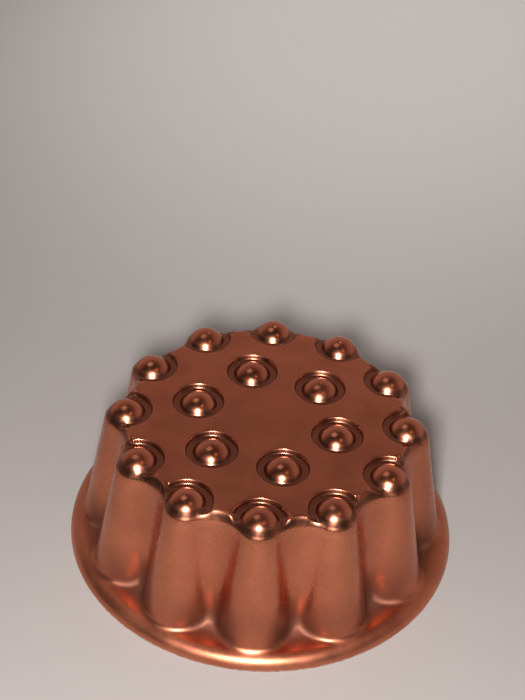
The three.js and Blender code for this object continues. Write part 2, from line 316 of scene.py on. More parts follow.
# %% Knob section
SEAT_LOW_FILLET = 0.9
SEAT_TOP_FILLET = 0.7
KNOB_BLEND = 1.3  # how far the ball and its seat melt into each other, in height

seat_line = rounded_profile(
    [(KNOB, 0), (SEAT_FLOOR, 0), (SEAT, SEAT_DEPTH), (SEAT + 2, SEAT_DEPTH)],
    [SEAT_LOW_FILLET, SEAT_TOP_FILLET],
    steps=24,
)


def melt(first, second, width):
    """The higher of two heights, with the crease between them filled over a width."""
    overlap = np.clip(width - np.abs(first - second), 0, None) / width
    return np.maximum(first, second) + overlap**2 * width / 4


def ball_height(distance):
    """Height of a knob's ball at a distance from its middle."""
    return KNOB_CENTRE + np.sqrt(np.clip(KNOB**2 - distance**2, 0, None))


def seat_rise(distance):
    """Height of the seat's wall over its floor."""
    return np.interp(distance, seat_line[:, 0], seat_line[:, 1])


base = math.sqrt(KNOB**2 - (FLOOR - KNOB_CENTRE) ** 2)  # where the ball meets the floor
ball_rings = KNOB * np.sin(np.linspace(0, math.asin((base - 0.6) / KNOB), 10))[1:]
blend_rings = base + np.array([-0.35, -0.12, 0.1, 0.32, 0.6])
wall_rings = np.array([10.6, 11.2, 11.6, 11.85, 12.1, 12.28, 12.45, 12.7, 12.95, 13.15])
top_rings = np.array([13.3, 13.45, 13.6, 13.8, 14.4])
knob_rings = np.concatenate([ball_rings, blend_rings, wall_rings, top_rings])
print(len(knob_rings), "rings of points round each knob")

# %% [markdown]
# ## The fluted outline
#
# Seen from above, the wall is a row of lobe arcs joined by small valley arcs that
# touch them. The outline is given as columns of points, from the middle of one valley
# over the lobe to the middle of the next, and a wall is the same columns at another
# height. An inset moves every arc sideways by the same amount.

# %% Outline
VALLEY_COLUMNS = 8  # on half a valley
LOBE_COLUMNS = 11  # on half a lobe


def valley_arc(ring, lobe, valley):
    """The valley arc that touches two lobes: its radius, its centre's distance from the
    mold's axis, and where it touches, as a turn round the lobe's centre."""
    reach = ring * math.cos(HALF)
    bow = (lobe**2 - valley**2 - ring**2 + 2 * valley * reach) / (2 * (valley - reach - lobe))
    hollow = valley + bow
    return bow, hollow, math.atan2(hollow * math.sin(HALF), hollow * math.cos(HALF) - ring)


def fluted_columns(ring, lobe, valley, inset):
    """Points along one wedge of the outline, moved inwards by the inset."""
    bow, hollow, touch = valley_arc(ring, lobe, valley)
    lobe_turns = np.linspace(touch, 0, LOBE_COLUMNS + 1)
    lobe_side = np.stack([np.cos(lobe_turns), np.sin(lobe_turns)], 1)
    valley_turns = np.linspace(math.pi + HALF, math.pi + touch, VALLEY_COLUMNS + 1)[:-1]
    valley_side = np.stack([np.cos(valley_turns), np.sin(valley_turns)], 1)
    middle = np.array([hollow * math.cos(HALF), hollow * math.sin(HALF)])
    valley_points = middle + valley_side * (bow + inset)
    lobe_points = np.array([ring, 0]) + lobe_side * (lobe - inset)
    half = np.concatenate([valley_points, lobe_points])
    both = np.concatenate([half, (half * [1, -1])[-2::-1]])[::-1]
    cos, sin = math.cos(HALF), math.sin(HALF)
    return both @ np.array([[cos, sin], [-sin, cos]])


top_outline = fluted_columns(RING, LOBE, VALLEY, 0)
foot_outline = fluted_columns(RING_FOOT, LOBE_FOOT, VALLEY_FOOT, 0)
COLUMNS = len(top_outline)
print(COLUMNS, "columns in a wedge")


# %% [markdown]
# ## Height of the closed end
#
# Between two seats a narrow finger of the plateau runs out to the valley. On its
# outer side a seat has no wall: the metal drops steeply from the ball to the lobe's
# wall, so a knob seems to grow out of its lobe. Heights come from one function of the
# place and of the distance inside the edge, and the same melting joins all surfaces.

# %% Height of the closed end
EDGE_HEIGHT = 71.3  # where the wall begins
EDGE_SLOPE = 1.9  # the shoulder's rise for each millimetre inwards
EDGE_BLEND = 2.4
EDGE = 4.8  # the shoulder reaches this far inside the edge


def knob_distance(points):
    """Distance to the nearer of the wedge's two knobs."""
    return np.minimum(
        np.linalg.norm(points - OUTER_KNOB, axis=1),
        np.linalg.norm(points - INNER_KNOB, axis=1),
    )


def closed_end_height(points, inset=EDGE):
    """Height of the closed end at points that lie an inset inside the edge."""
    distance = knob_distance(points)
    plate = FLOOR + seat_rise(distance)
    shoulder = np.full(len(points), EDGE_HEIGHT + EDGE_SLOPE * inset)
    body = -melt(-plate, -shoulder, EDGE_BLEND)
    return melt(ball_height(distance), body, KNOB_BLEND)


# %% [markdown]
# ## One wedge of the sheet
#
# The closed end is filled with triangles between rings of points round the knobs. The
# edge, the wall and the foot follow as rows of the same columns, so their quads run
# with the metal's own curves. The flange is filled with triangles again. It rises a
# little into each valley, is level under the hanger, and rolls a quarter turn down to
# the table.

# %% Filling a region with triangles
def inside_loop(points, loop):
    """Which points lie inside a closed loop, by counting the loop's lines to one side."""
    inside = np.zeros(len(points), bool)
    for a, b in zip(loop, np.roll(loop, -1, 0)):
        crosses = (a[1] > points[:, 1]) != (b[1] > points[:, 1])
        if crosses.any():
            at = a[0] + (points[:, 1] - a[1]) * (b[0] - a[0]) / (b[1] - a[1])
            inside ^= crosses & (points[:, 0] < at)
    return inside


def fill_region(loop, inner):
    """Points and triangles that fill a closed loop in the plan, using the inner points."""
    plan = np.concatenate([loop, inner])
    rim = [list(range(len(loop)))]
    made = delaunay_2d_cdt([Vector(p) for p in plan], [], rim, 1, 1e-5, True)
    points = np.array([plan[source[0]] for source in made[3]])
    faces = np.array([list(face) for face in made[2]])
    a, b, c = points[faces].transpose(1, 0, 2)
    flat = (b[:, 0] - a[:, 0]) * (c[:, 1] - a[:, 1]) - (b[:, 1] - a[:, 1]) * (c[:, 0] - a[:, 0])
    kept = inside_loop((a + b + c) / 3, np.asarray(loop)) & (flat > 1e-3)
    return points, faces[kept].tolist()


# %% Closed end of the wedge
KNOB_SPOKES = 48
FLAT_SPACING = 3.6


def ring_points(centre, turns):
    """Rings of points round a knob, and its middle."""
    way = np.stack([np.cos(turns), np.sin(turns)], 1)
    rings = [centre + radius * way for radius in knob_rings]
    return np.concatenate([[centre], *rings])


def inside_edge(points, margin):
    """Which points lie at least a margin inside the wedge and its edge rows."""
    bow, hollow, touch = valley_arc(RING, LOBE, VALLEY)
    turn = np.arctan2(points[:, 1], points[:, 0])
    side = np.linalg.norm(points, axis=1) * np.sin(np.minimum(turn, WEDGE - turn))
    from_knob = points - OUTER_KNOB
    bearing = np.abs(np.arctan2(from_knob[:, 1], from_knob[:, 0]) - HALF)
    bearing = np.minimum(bearing, 2 * math.pi - bearing)
    hollows = [hollow * np.array([math.cos(t), math.sin(t)]) for t in (0, WEDGE)]
    from_hollow = np.min([np.linalg.norm(points - h, axis=1) for h in hollows], axis=0)
    in_lobe = np.linalg.norm(from_knob, axis=1) < LOBE - EDGE - margin
    in_middle = from_hollow > bow + EDGE + margin
    return (side > margin) & np.where(bearing < touch, in_lobe, in_middle)


def closed_end():
    """Plan points and triangles of the wedge inside its edge rows."""
    boundary = list(fluted_columns(RING, LOBE, VALLEY, EDGE))
    far = boundary[-1]
    far_steps = int(np.linalg.norm(far) / FLAT_SPACING)
    boundary += [far * (1 - i / far_steps) for i in range(1, far_steps)]
    boundary.append(np.zeros(2))
    on_axis = np.concatenate([PITCH - knob_rings, PITCH + knob_rings, [PITCH]])
    gaps = np.arange(FLAT_SPACING, np.linalg.norm(boundary[0]) - 1, FLAT_SPACING)
    on_axis = np.concatenate([on_axis, gaps[np.abs(gaps - PITCH) > knob_rings[-1] + 1]])
    boundary += [np.array([x, 0.0]) for x in np.sort(on_axis)]

    half_turns = np.linspace(0, math.pi, KNOB_SPOKES // 2 + 1)[1:-1]
    turns = np.linspace(0, 2 * math.pi, KNOB_SPOKES, endpoint=False) + HALF
    rings = np.concatenate([ring_points(INNER_KNOB, half_turns)[1:], ring_points(OUTER_KNOB, turns)])
    rings = rings[inside_edge(rings, 0.25)]
    steps = np.arange(0, RING, FLAT_SPACING)
    flat = np.array([(x + (j % 2) * FLAT_SPACING / 2, y) for j, y in enumerate(steps) for x in steps])
    flat = flat[inside_edge(flat, FLAT_SPACING / 2)]
    flat = flat[knob_distance(flat) > knob_rings[-1] + FLAT_SPACING / 2]
    return fill_region(boundary, np.concatenate([rings, flat]))


# %% Rows of the wedge
SHOULDER_INSETS = [EDGE, 4.2, 3.7, 3.3, 2.95, 2.65, 2.4, 2.15, 1.9, 1.6, 1.3, 1.0, 0.7, 0.35, 0.0]
FILLET = 3.2  # between the wall's foot and the flange, measured along the flange
FILLET_LOW, FILLET_HIGH = 3.8, 5.6  # its height on a lobe and in a valley
WALL_ROWS = 12
DISH_FROM = 87.4  # inside this distance from the axis the flange rises into the valleys
DISH = 0.055  # its rise, times the square of the distance inside DISH_FROM
# circles of points across the flange
FLANGE_RADII = [82.1, 83.4, 84.7, 86, 87.4, 89, 91, 93, 94, 95]
ROLL_FROM = 96.2  # the flange's own rows begin here
FLANGE_COLUMNS = 30
HEM_TOP = 0.75


def flange_height(radius):
    """Height of the flange at a distance from the mold's axis."""
    roll = np.sqrt(np.clip(ROLL**2 - np.clip(radius - ROLL_START, 0, None) ** 2, 0, None))
    return roll + DISH * np.clip(DISH_FROM - radius, 0, None) ** 2


def edge_rows():
    """Rows over the shoulder, from the closed end down to the wall."""
    rows = []
    for inset in SHOULDER_INSETS:
        plan = fluted_columns(RING, LOBE, VALLEY, inset)
        rows.append(np.column_stack([plan, closed_end_height(plan, inset)]))
    return rows


def smooth_step(low, high, value):
    """0 below low, 1 above high, and smooth between."""
    share = np.clip((value - low) / (high - low), 0, 1)
    return share * share * (3 - 2 * share)


def wall_rows(top):
    """Rows down the wall and round the fillet at its foot."""
    columns = np.abs(np.linspace(-1, 1, COLUMNS))  # 0 on the lobe, 1 in the valleys
    climb = FILLET_LOW + (FILLET_HIGH - FILLET_LOW) * smooth_step(0.4, 1.0, columns)
    radius = np.linalg.norm(foot_outline, axis=1)
    foot = np.column_stack([foot_outline, flange_height(radius) + climb])
    rows = [top + (foot - top) * share for share in np.linspace(0, 1, WALL_ROWS)[1:]]
    for turn in np.linspace(0, math.pi / 2, 7)[1:]:
        outward = FILLET * (1 - math.cos(turn))
        plan = fluted_columns(RING_FOOT, LOBE_FOOT, VALLEY_FOOT, -outward)
        height = flange_height(np.linalg.norm(plan, axis=1)) + climb * (1 - math.sin(turn))
        rows.append(np.column_stack([plan, height]))
    return rows


def flange(foot):
    """Points and triangles of the flange, from the foot's fillet to where its rows begin."""
    turns = np.linspace(0, WEDGE, FLANGE_COLUMNS + 1)
    way = np.column_stack([np.cos(turns), np.sin(turns)])
    loop = list(ROLL_FROM * way) + [r * way[-1] for r in reversed(FLANGE_RADII)]
    loop += list(foot[::-1, :2]) + [r * way[0] for r in FLANGE_RADII]
    inner = np.concatenate([r * way[1:-1] for r in FLANGE_RADII])
    clear = LOBE_FOOT + FILLET + 0.6
    lobe_middle = RING_FOOT * np.array([math.cos(HALF), math.sin(HALF)])
    inner = inner[np.linalg.norm(inner - lobe_middle, axis=1) > clear]
    points, faces = fill_region(loop, inner)
    return np.column_stack([points, flange_height(np.linalg.norm(points, axis=1))]), faces


def roll_rows():
    """Rows down the flange's roll, to the hem."""
    turns = np.linspace(0, WEDGE, FLANGE_COLUMNS + 1)
    bends = np.linspace(math.asin((ROLL_FROM - ROLL_START) / ROLL), math.acos(HEM_TOP / ROLL), 10)
    rows = []
    for bend in bends:
        radius, height = ROLL_START + ROLL * math.sin(bend), ROLL * math.cos(bend)
        rows.append(
            np.column_stack([radius * np.cos(turns), radius * np.sin(turns), 0 * turns + height])
        )
    return rows


# %% Outer skin of the wedge
def weld(points, faces, grain=1e-4):
    """Joins points that lie in one place, and drops faces that this leaves empty."""
    keys = np.round(points / grain).astype(np.int64)
    _, first, index = np.unique(keys, axis=0, return_index=True, return_inverse=True)
    index = index.reshape(-1)
    kept = []
    for face in faces:
        corners = [int(index[i]) for i in face]
        corners = [c for i, c in enumerate(corners) if c != corners[i - 1]]
        if len(corners) > 2:
            kept.append(corners)
    return points[first], kept


def quads(rows, base):
    """Faces between rows of points, each row as long as the first."""
    width = len(rows[0])
    corners = [base + r * width + c for r in range(len(rows) - 1) for c in range(width - 1)]
    return [[c + width, c + width + 1, c + 1, c] for c in corners]


def outer_skin():
    """Points and faces of the wedge's outer skin, and the row at its rim."""
    plan, faces = closed_end()
    points = [np.column_stack([plan, closed_end_height(plan)])]
    wall = edge_rows()
    wall += wall_rows(wall[-1])
    faces += quads(wall, len(plan))
    points += wall
    base = sum(map(len, points))
    level, level_faces = flange(wall[-1])
    points.append(level)
    faces += [[i + base for i in face] for face in level_faces]
    roll = roll_rows()
    faces += quads(roll, base + len(level))
    points += roll
    return np.concatenate(points), faces, roll[-1]


skin_points, skin_faces, rim_row = outer_skin()
skin_points, skin_faces = weld(skin_points, skin_faces)
print(len(skin_points), "points and", len(skin_faces), "faces in the wedge's outer skin")

# %% [markdown]
# ## Giving the sheet its thickness
#
# A pressed sheet is the same thickness all over, so the inside is the outer skin moved
# along its own normals. At the wedge's two sides the normal has to lie in the side
# itself, or the mirrored neighbour would not meet it. The hem, where the rim's raw
# edge is turned under, closes the gap between the two skins.


# %% Normals of the wedge
def point_normals(points, faces):
    """Normals weighted by each face's angle at the point."""
    normals = np.zeros_like(points)
    for face in faces:
        corners = points[face]
        ahead = np.roll(corners, -1, 0) - corners
        back = np.roll(corners, 1, 0) - corners
        cross = np.cross(ahead, back)
        size = np.linalg.norm(cross, axis=1)
        angle = np.arctan2(size, (ahead * back).sum(1))
        normals[face] += cross / np.maximum(size, 1e-12)[:, None] * angle[:, None]
    return normals


def lie_in_side(points, normals, turn):
    """Turns the normals of points on a side of the wedge into that side."""
    across = np.array([-math.sin(turn), math.cos(turn), 0])
    on_side = np.abs(points @ across) < 1e-3
    normals[on_side] -= np.outer(normals[on_side] @ across, across)


skin_normals = point_normals(skin_points, skin_faces)
lie_in_side(skin_points, skin_normals, 0)
lie_in_side(skin_points, skin_normals, WEDGE)
skin_normals /= np.linalg.norm(skin_normals, axis=1)[:, None]
on_rim = skin_points[:, 2] < HEM_TOP + 0.001
rim_way = skin_points[on_rim] - [0, 0, HEM_TOP]
rim_way /= np.linalg.norm(rim_way, axis=1)[:, None]
rim_lean = math.acos(HEM_TOP / ROLL)
skin_normals[on_rim] = rim_way * math.sin(rim_lean) + [0, 0, math.cos(rim_lean)]
inner_points = skin_points - SHEET * skin_normals


# %% Hem and wedge mesh
def hem_rows():
    """Rows round the turned-under edge, from the outer skin to the inner one."""
    shrink = (ROLL - SHEET) / ROLL
    outer = (math.hypot(*rim_row[0][:2]), HEM_TOP)
    inner = (ROLL_START + (outer[0] - ROLL_START) * shrink, HEM_TOP * shrink)
    corners = [outer, (outer[0], 0), (RIM - HEM, 0), (RIM - HEM, inner[1]), inner]
    line = rounded_profile(corners, [0.6, 0.28, 0.28], steps=4)
    turns = np.arctan2(rim_row[:, 1], rim_row[:, 0])
    return [
        np.column_stack([r * np.cos(turns), r * np.sin(turns), np.full(len(turns), z)])
        for r, z in line
    ]


def wedge_mesh():
    """The wedge of the whole sheet, open only at its two sides, in metres."""
    count = len(skin_points)
    hem = hem_rows()
    points = np.concatenate([skin_points, inner_points, *hem])
    faces = list(skin_faces)
    faces += [[i + count for i in reversed(face)] for face in skin_faces]
    faces += quads(hem, 2 * count)
    mesh = bpy.data.meshes.new("wedge")
    mesh.from_pydata((points * MM).tolist(), [], faces)
    return mesh


wedge = link(bpy.data.objects.new("wedge", wedge_mesh()))
print(len(wedge.data.polygons), "faces in the wedge")

# %% [markdown]
# ## Twelve wedges make the mold
#
# The wedge is mirrored across its side, which gives a sixth, and six copies round the
# axis close the circle. Geometry Nodes do this as they would for any ring of equal
# parts: mirror, join, put one instance on each of six points and turn it by its
# number. The seams are then merged, so that the result is one closed sheet.


# %% Geometry Nodes helpers
def node_group(name, sockets):
    """A Geometry Nodes tree with a geometry input and output and the given sockets."""
    tree = bpy.data.node_groups.new(name, "GeometryNodeTree")
    tree.interface.new_socket("Geometry", in_out="INPUT", socket_type="NodeSocketGeometry")
    for label, kind, value in sockets:
        socket = tree.interface.new_socket(label, in_out="INPUT", socket_type=kind)
        if value is not None:
            socket.default_value = value
    tree.interface.new_socket("Geometry", in_out="OUTPUT", socket_type="NodeSocketGeometry")
    return tree, node(tree, "NodeGroupInput"), node(tree, "NodeGroupOutput")


def wire(tree, *pairs):
    """Links outputs to inputs, each pair as (output socket, input socket)."""
    for source, target in pairs:
        tree.links.new(source, target)


def apply_nodes(obj, tree, inputs, name):
    """Runs a tree on an object, keeps the result as a plain mesh and hands it back."""
    modifier = obj.modifiers.new(tree.name, "NODES")
    modifier.node_group = tree
    for item in tree.interface.items_tree:
        if item.in_out == "INPUT" and item.name in inputs:
            modifier[item.identifier] = inputs[item.name]
    bpy.context.view_layer.update()
    evaluated = obj.evaluated_get(bpy.context.evaluated_depsgraph_get())
    mesh = bpy.data.meshes.new_from_object(evaluated)
    obj.modifiers.remove(modifier)
    obj.data = mesh
    obj.name = mesh.name = name
    return obj


def describe(obj):
    """Prints a piece's triangle count, box, open edges and volume."""
    work = bmesh.new()
    work.from_mesh(obj.data)
    open_edges = sum(not edge.is_manifold for edge in work.edges)
    volume = work.calc_volume(signed=True) / MM**3
    count = len(work.calc_loop_triangles())
    points = np.array([v.co[:] for v in work.verts])
    low, high = points.min(0) / MM, points.max(0) / MM
    work.free()
    print(f"{obj.name}: {count} triangles, {open_edges} open edges, {volume:.0f} mm3")
    print("   box", low.round(2), high.round(2))


# %% Ring of wedges
sheet_tree, given, result = node_group(
    "ring of mirrored wedges",
    [
        ("Copies", "NodeSocketInt", 6),
        ("Seam", "NodeSocketFloat", 5e-6),
        ("Metal", "NodeSocketMaterial", None),
    ],
)
mirror = node(sheet_tree, "GeometryNodeTransform", Scale=(1, -1, 1))
flip = node(sheet_tree, "GeometryNodeFlipFaces")
sixth = node(sheet_tree, "GeometryNodeJoinGeometry")
corners = node(sheet_tree, "GeometryNodePoints")
copies = node(sheet_tree, "GeometryNodeInstanceOnPoints")
number = node(sheet_tree, "GeometryNodeInputIndex")
turn = node(sheet_tree, "ShaderNodeMath", operation="MULTIPLY")
full_turn = node(sheet_tree, "ShaderNodeMath", operation="DIVIDE")
full_turn.inputs[0].default_value = 2 * math.pi
spin = node(sheet_tree, "ShaderNodeCombineXYZ")
real = node(sheet_tree, "GeometryNodeRealizeInstances")
seam = node(sheet_tree, "GeometryNodeMergeByDistance")
smooth = node(sheet_tree, "GeometryNodeSetShadeSmooth")
paint = node(sheet_tree, "GeometryNodeSetMaterial")
wire(
    sheet_tree,
    (given.outputs["Geometry"], mirror.inputs["Geometry"]),
    (mirror.outputs[0], flip.inputs["Mesh"]),
    (flip.outputs[0], sixth.inputs[0]),
    (given.outputs["Geometry"], sixth.inputs[0]),
    (given.outputs["Copies"], corners.inputs["Count"]),
    (corners.outputs[0], copies.inputs["Points"]),
    (sixth.outputs[0], copies.inputs["Instance"]),
    (given.outputs["Copies"], full_turn.inputs[1]),
    (number.outputs[0], turn.inputs[0]),
    (full_turn.outputs[0], turn.inputs[1]),
    (turn.outputs[0], spin.inputs["Z"]),
    (spin.outputs[0], copies.inputs["Rotation"]),
    (copies.outputs[0], real.inputs[0]),
    (real.outputs[0], seam.inputs["Geometry"]),
    (given.outputs["Seam"], seam.inputs["Distance"]),
    (seam.outputs[0], smooth.inputs["Geometry"]),
    (smooth.outputs[0], paint.inputs["Geometry"]),
    (given.outputs["Metal"], paint.inputs["Material"]),
    (paint.outputs[0], result.inputs[0]),
)

METALS = {name: bpy.data.materials.new(name) for name in ("sheet", "hanger", "rivet", "wire")}
shell_inputs = {"Copies": 6, "Seam": 5e-6, "Metal": METALS["sheet"]}
shell = apply_nodes(wedge, sheet_tree, shell_inputs, "fluted_sheet")
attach(shell, "mold")
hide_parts("mold_shell")
describe(shell)

# %% [markdown]
# ## The strap
#
# The hanger's strap is a ribbon of the same sheet: a foot with a round end, held by
# the rivet, a short slope, and an eye rolled round the wire. It is drawn as the
# ribbon's middle surface, with rings of points round the rivet's hole, and rows that
# follow the side view. Solidify gives it the thickness and a small bevel breaks its
# cut edges.

# %% Strap
RIVET_Y = ROLL_START - 0.4
EYE = np.array([RIM + 0.4, ROLL + 0.5])  # y and z of the eye's middle
EYE_RADIUS = 1.9  # to the middle of the sheet
EYE_TURN = math.radians(258)
STRAP_HALF = 5.0  # half the strap's width
STRAP_REST = ROLL + SHEET / 2 + 0.05  # the foot lies on the flange
SQUARE_END = 3.0  # the rings round the rivet give way to rows this far out
KNEE = 3.5  # and the foot ends and the slope begins this far out
HOLE = 1.5


def strap_side_view():
    """The strap's side view as y and z, from the end of its foot's rings to the eye's lip."""
    knee = np.array([RIVET_Y + KNEE, STRAP_REST])
    to_eye = EYE - knee
    length = np.linalg.norm(to_eye)
    slope = math.atan2(to_eye[1], to_eye[0]) + math.asin(EYE_RADIUS / length)
    tangent = knee + math.sqrt(length**2 - EYE_RADIUS**2) * np.array(
        [math.cos(slope), math.sin(slope)]
    )
    start = [RIVET_Y + SQUARE_END, STRAP_REST]
    line = list(rounded_profile([start, knee, tangent], [2.0]))
    first = slope + math.pi / 2
    for i in range(1, 29):
        turn = first - EYE_TURN * i / 28
        line.append(EYE + EYE_RADIUS * np.array([math.cos(turn), math.sin(turn)]))
    return np.array(line)


def strap_mesh():
    """The strap's middle surface, in metres."""
    across = np.linspace(STRAP_HALF, -STRAP_HALF, 15)
    end_turns = np.linspace(math.pi, 2 * math.pi, 19)
    side = np.linspace(SQUARE_END, 0, 4)[1:-1]
    outline = [(x, SQUARE_END) for x in across] + [(-STRAP_HALF, y) for y in side]
    outline += [(STRAP_HALF * math.cos(t), STRAP_HALF * math.sin(t)) for t in end_turns]
    outline += [(STRAP_HALF, y) for y in side[::-1]]
    outline = np.array(outline)
    hole = HOLE * outline / np.linalg.norm(outline, axis=1)[:, None]
    shares = [1.0, 0.9, 0.7, 0.5, 0.3, 0.12, 0.0]
    rings = [hole + (outline - hole) * share for share in shares]
    count = len(outline)
    points = [(x, RIVET_Y + y, STRAP_REST) for ring in rings for x, y in ring]
    faces = []
    for ring in range(len(rings) - 1):
        for i in range(count):
            j = (i + 1) % count
            here, there = ring * count, (ring + 1) * count
            faces.append([here + i, here + j, there + j, there + i])
    before = list(range(len(across)))
    for y, z in strap_side_view()[1:]:
        row = list(range(len(points), len(points) + len(across)))
        points += [(x, y, z) for x in across]
        for i in range(len(across) - 1):
            faces.append([before[i + 1], before[i], row[i], row[i + 1]])
        before = row
    mesh = bpy.data.meshes.new("hanger_ribbon")
    mesh.from_pydata([tuple(MM * v for v in point) for point in points], [], faces)
    mesh.shade_smooth()
    return mesh


strap = link(bpy.data.objects.new("hanger_ribbon", strap_mesh()))
thickness = strap.modifiers.new("thickness", "SOLIDIFY")
thickness.thickness = SHEET * MM
thickness.offset = 0
broken_edge = strap.modifiers.new("broken edge", "BEVEL")
broken_edge.width = 0.12 * MM
broken_edge.segments = 2
broken_edge.limit_method = "ANGLE"
strap.data.materials.append(METALS["hanger"])
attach(strap, "mold")
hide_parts("hanger_strap")
describe(strap)

# %% [markdown]
# ## The rivet
#
# A hollow rivet is a short tube whose two ends are rolled outwards, over the strap
# and under the flange. Its section is a closed line, turned round the rivet's axis.

# %% Rivet
RIVET_BORE = 0.75
RIVET_SHANK = 1.3
RIVET_HEAD = 2.1
RIVET_FLARE = 2.0  # radius of its lower end
RIVET_GAP = 0.02  # between its ends and the metal that they hold
RIVET_SEGMENTS = 48

head_low = STRAP_REST + SHEET / 2 + RIVET_GAP
head_high = head_low + 0.73
flare_high = ROLL - SHEET - RIVET_GAP
flare_low = flare_high - 0.7
rivet_corners = [
    (RIVET_BORE, ROLL),
    (RIVET_BORE, flare_low),
    (RIVET_FLARE, flare_low),
    (RIVET_FLARE, flare_high),
    (RIVET_SHANK, flare_high),
    (RIVET_SHANK, head_low),
    (RIVET_HEAD, head_low),
    (RIVET_HEAD, head_high),
    (RIVET_BORE, head_high),
    (RIVET_BORE, ROLL + 0.05),
]
rivet_line = rounded_profile(rivet_corners, [0.45, 0.34, 0.1, 0.05, 0.05, 0.1, 0.45, 0.45])


def lathe_mesh(name, line, middle, segments):
    """A closed line of (radius, height) turned round an upright axis, in metres."""
    turns = [2 * math.pi * i / segments for i in range(segments)]
    points = [
        (MM * (middle[0] + r * math.cos(t)), MM * (middle[1] + r * math.sin(t)), MM * z)
        for t in turns
        for r, z in line
    ]
    count = len(line)
    faces = []
    for i in range(segments):
        here, there = i * count, (i + 1) % segments * count
        for j in range(count):
            k = (j + 1) % count
            faces.append([here + j, here + k, there + k, there + j])
    mesh = bpy.data.meshes.new(name)
    mesh.from_pydata(points, [], faces)
    mesh.shade_smooth()
    return mesh


rivet_mesh = lathe_mesh("hollow_rivet", rivet_line, (0, RIVET_Y), RIVET_SEGMENTS)
rivet = link(bpy.data.objects.new("hollow_rivet", rivet_mesh))
rivet.data.materials.append(METALS["rivet"])
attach(rivet, "mold")
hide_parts("hanger_rivet")
describe(rivet)

# %% [markdown]
# ## The hanging ring
#
# The ring is one length of round wire: a straight bar through the eye, two corners and
# a long round loop. Its two cut ends meet inside the eye. Geometry Nodes sweep a
# circle along that path, which keeps the wire's thickness the same in the corners.

# %% Ring path
WIRE = 1.0  # radius of the wire
BAR_HALF = STRAP_HALF + 0.3
RING_HALF = 8.3
RING_CLEAR = 0.7  # between the wire and the end of the strap's foot
RING_LENGTH = EYE[0] - RIVET_Y + STRAP_HALF + WIRE + RING_CLEAR
END_GAP = 0.2  # half of the gap between the wire's two cut ends
CORNER = 3.0
RING_TILT = math.radians(6.59)  # lying back on the rolled rim


def ring_path():
    """Points along the ring's wire from one cut end to the other, in the bar's own frame."""
    half_path = [(END_GAP, 0.0), (1.5, 0.0), (3.5, 0.0)]
    for i in range(13):
        turn = math.pi / 2 * (1 - i / 12)
        half_path.append((BAR_HALF + CORNER * math.cos(turn), CORNER * (1 - math.sin(turn))))
    far = RING_LENGTH - CORNER
    for i in range(1, 25):
        turn = math.pi / 2 * i / 24
        half_path.append((RING_HALF * math.cos(turn), CORNER + far * math.sin(turn)))
    other = [(-x, y) for x, y in half_path[-2::-1]]
    return half_path + other


def ring_place(x, inward):
    """A point of the path, tilted about the bar and put in the eye, in metres."""
    y = EYE[0] - inward * math.cos(RING_TILT)
    z = EYE[1] + inward * math.sin(RING_TILT)
    return MM * x, MM * y, MM * z


path_points = [ring_place(x, inward) for x, inward in ring_path()]
ring_mesh = bpy.data.meshes.new("ring path")
ring_mesh.from_pydata(path_points, [(i, i + 1) for i in range(len(path_points) - 1)], [])
ring = link(bpy.data.objects.new("ring path", ring_mesh))

# %% Swept wire
wire_tree, given, result = node_group(
    "round wire along a path",
    [
        ("Wire radius", "NodeSocketFloat", WIRE * MM),
        ("Sides", "NodeSocketInt", 24),
        ("Metal", "NodeSocketMaterial", None),
    ],
)
path = node(wire_tree, "GeometryNodeMeshToCurve")
section = node(wire_tree, "GeometryNodeCurvePrimitiveCircle")
sweep = node(wire_tree, "GeometryNodeCurveToMesh")
sweep.inputs["Fill Caps"].default_value = True
wire_real = node(wire_tree, "GeometryNodeRealizeInstances")
wire_smooth = node(wire_tree, "GeometryNodeSetShadeSmooth")
wire_paint = node(wire_tree, "GeometryNodeSetMaterial")
wire(
    wire_tree,
    (given.outputs["Geometry"], path.inputs[0]),
    (given.outputs["Wire radius"], section.inputs["Radius"]),
    (given.outputs["Sides"], section.inputs["Resolution"]),
    (path.outputs[0], sweep.inputs["Curve"]),
    (section.outputs[0], sweep.inputs["Profile Curve"]),
    (sweep.outputs[0], wire_real.inputs[0]),
    (wire_real.outputs[0], wire_smooth.inputs["Geometry"]),
    (wire_smooth.outputs[0], wire_paint.inputs["Geometry"]),
    (given.outputs["Metal"], wire_paint.inputs["Material"]),
    (wire_paint.outputs[0], result.inputs[0]),
)
ring_inputs = {"Wire radius": WIRE * MM, "Sides": 24, "Metal": METALS["wire"]}
ring = apply_nodes(ring, wire_tree, ring_inputs, "wire_ring")
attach(ring, "ring")
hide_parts("hanging_ring")
describe(ring)

# %% [markdown]
# ## Tools for the finishes
#
# Every finish is worked out by nodes from the place on the piece, so it stays with the
# metal when the ring swings. Each helper adds one pattern, one change of range, or one
# way of joining two values.


# %% Finish helpers
def noise(tree, coordinates, stretch, detail=3.0, roughness=0.55):
    """Noise on the given coordinates, stretched along each axis. Hands back its value."""
    scaled = node(tree, "ShaderNodeMapping", vector_type="POINT")
    scaled.inputs["Scale"].default_value = stretch
    pattern = node(tree, "ShaderNodeTexNoise", Scale=1.0, Detail=detail, Roughness=roughness)
    wire(tree, (coordinates, scaled.inputs["Vector"]), (scaled.outputs[0], pattern.inputs["Vector"]))
    return pattern.outputs["Fac"]


def remap(tree, value, low, high, to_low, to_high):
    """Maps a value from one range to another, held at the ends."""
    mapped = node(tree, "ShaderNodeMapRange")
    mapped.interpolation_type = "SMOOTHSTEP"
    for label, number in zip(("From Min", "From Max", "To Min", "To Max"), (low, high, to_low, to_high)):
        mapped.inputs[label].default_value = number
    wire(tree, (value, mapped.inputs["Value"]))
    return mapped.outputs["Result"]


